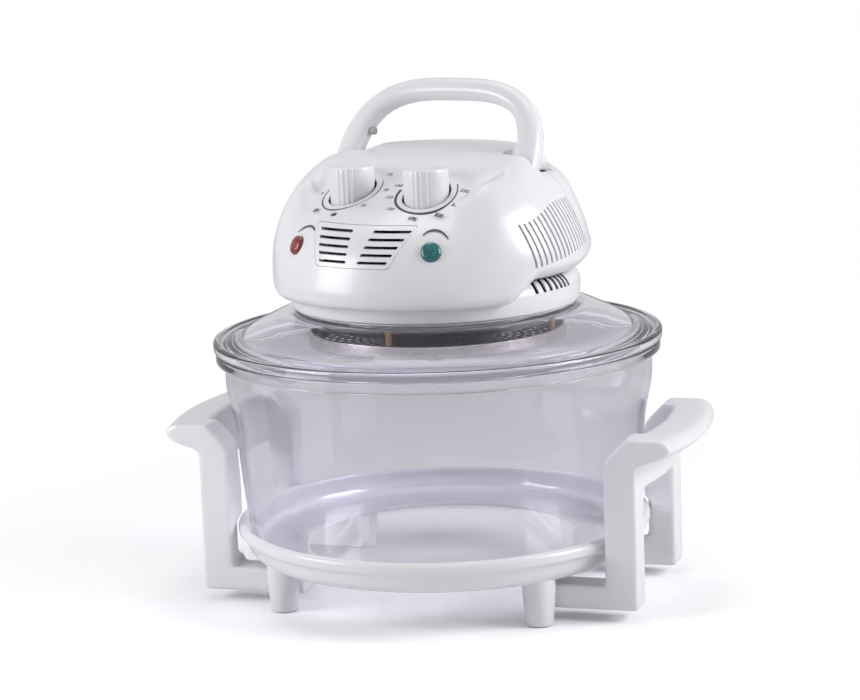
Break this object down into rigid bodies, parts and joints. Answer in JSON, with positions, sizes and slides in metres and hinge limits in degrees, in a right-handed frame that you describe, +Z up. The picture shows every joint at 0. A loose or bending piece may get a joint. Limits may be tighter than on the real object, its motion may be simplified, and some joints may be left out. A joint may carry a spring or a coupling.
{
  "type": "multifunction oven",
  "caption": "Countertop convection oven: glass bowl in a white cradle with side handles, under a lift-off glass lid that carries the power head with dials and a folding carry handle.",
  "frame": {"origin": "centre of the standing plane, under the bowl's axis", "axes": "+Z up along the bowl's axis, +X towards the right side handle, -Y the front of the cradle; the lid and head sit turned by 12.8 degrees clockwise from above, as in the picture"},
  "size_m": [0.4154, 0.3392, 0.3873],
  "materials": {
    "white_plastic": "satin gloss moulded white",
    "clear_glass": "clear pressed heat-proof glass",
    "bright_steel": "bright pressed steel",
    "dark_steel": "dull dark steel",
    "bronze": "heat-tinted bronze",
    "grey_rubber": "matt",
    "red_lens": "clear red lens",
    "green_lens": "clear green lens",
    "grey_plastic": "matt",
    "black_plastic": "matt",
    "insulation": "pressed mineral board"
  },
  "bodies": {
    "cradle": {"cradle_ring": "white_plastic", "handle_frame_left": "white_plastic", "handle_frame_right": "white_plastic", "foot_front_left": "white_plastic", "foot_front_right": "white_plastic", "foot_rear_left": "white_plastic", "foot_rear_right": "white_plastic", "foot_pad_front_left": "grey_rubber", "foot_pad_front_right": "grey_rubber", "foot_pad_rear_left": "grey_rubber", "foot_pad_rear_right": "grey_rubber", "frame_screw_1": "bright_steel", "frame_screw_2": "bright_steel", "frame_screw_3": "bright_steel", "frame_screw_4": "bright_steel"},
    "bowl": {"glass_bowl": "clear_glass"},
    "lid_head": {"glass_lid": "clear_glass", "lid_gasket": "grey_rubber", "head_base": "white_plastic", "insulation_disc": "insulation", "reflector_plate": "bright_steel", "heating_element": "dark_steel", "guard_pan": "bright_steel", "guard_post_1": "bronze", "guard_post_2": "bronze", "guard_post_3": "bronze", "guard_post_4": "bronze", "front_housing": "white_plastic", "rear_housing": "white_plastic", "front_grille": "white_plastic", "fan_motor": "dark_steel", "motor_bracket": "dark_steel", "control_bracket": "dark_steel", "timer_body": "grey_plastic", "thermostat_body": "grey_plastic", "handle_bracket": "dark_steel", "handle_pin_left": "bright_steel", "handle_pin_right": "bright_steel", "lamp_lens_red": "red_lens", "lamp_lens_green": "green_lens", "lamp_holder_left": "black_plastic", "lamp_holder_right": "black_plastic", "terminal_block": "grey_plastic", "thermal_fuse": "bright_steel", "cord_bush": "black_plastic", "switch_body": "black_plastic"},
    "carry_handle": {"carry_handle": "white_plastic", "handle_nub": "grey_plastic"},
    "switch_plunger": {"switch_plunger": "grey_plastic"},
    "timer": {"timer_knob": "white_plastic", "timer_shaft": "bright_steel"},
    "thermostat": {"thermostat_knob": "white_plastic", "thermostat_shaft": "bright_steel"},
    "rotor": {"motor_shaft": "bright_steel", "cooling_fan": "bright_steel", "circulation_fan": "bright_steel", "fan_nut": "bright_steel"}
  },
  "joints": [
    {"name": "bowl_lift", "type": "slide", "parent": "cradle", "child": "bowl", "axis": [0, 0, 1], "range_m": [0, 0.2]},
    {"name": "lid_lift", "type": "slide", "parent": "bowl", "child": "lid_head", "axis": [0, 0, 1], "range_m": [0, 0.25]},
    {"name": "handle_fold", "type": "hinge", "parent": "lid_head", "child": "carry_handle", "pos_m": [-0.00044, -0.00195, 0.313], "axis": [-0.9751, 0.2215, 0], "range_deg": [0, 26]},
    {"name": "plunger_press", "type": "slide", "parent": "lid_head", "child": "switch_plunger", "axis": [0, 0, -1], "range_m": [0, 0.003]},
    {"name": "timer_turn", "type": "hinge", "parent": "lid_head", "child": "timer", "pos_m": [-0.04454, -0.05295, 0.303], "axis": [0, 0, -1], "range_deg": [0, 300]},
    {"name": "thermostat_turn", "type": "hinge", "parent": "lid_head", "child": "thermostat", "pos_m": [0.01729, -0.06699, 0.303], "axis": [0, 0, -1], "range_deg": [0, 270]},
    {"name": "rotor_spin", "type": "hinge", "parent": "lid_head", "child": "rotor", "pos_m": [0, 0, 0.2235], "axis": [0, 0, 1], "continuous": true}
  ],
  "couplings": [
    {"joint": "plunger_press", "follows": "handle_fold", "m_per_rad": 0.0066}
  ]
}
